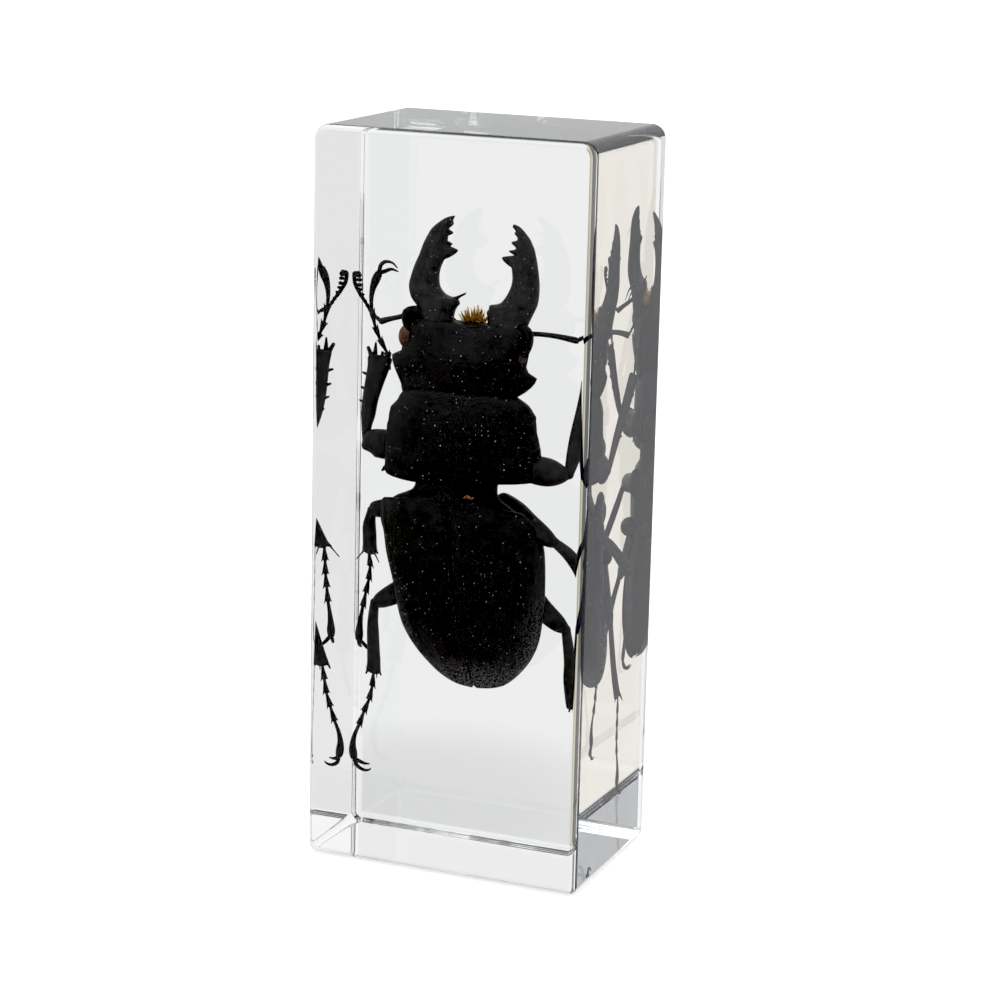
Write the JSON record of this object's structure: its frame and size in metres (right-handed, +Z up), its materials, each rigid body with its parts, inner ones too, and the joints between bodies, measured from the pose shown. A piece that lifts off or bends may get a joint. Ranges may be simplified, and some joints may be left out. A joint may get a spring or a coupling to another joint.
{
  "type": "insect in resin block",
  "caption": "Black stag beetle with long toothed jaws, sealed in a clear upright resin block with softened edges that stands on its narrow end.",
  "frame": {"origin": "middle of the flat base, at the bottom centre of the block's box", "axes": "+X to the right across the wide front face, +Y from the front to the back of the block, +Z up along its length"},
  "size_m": [0.0434, 0.0294, 0.11],
  "materials": {
    "black_shell": "dark insect shell, satin",
    "clear_resin": "polished clear polyester casting resin, refractive index 1.555"
  },
  "bodies": {
    "root": {"stag_beetle": "black_shell", "resin_front": "clear_resin", "resin_back": "clear_resin"}
  },
  "joints": []
}
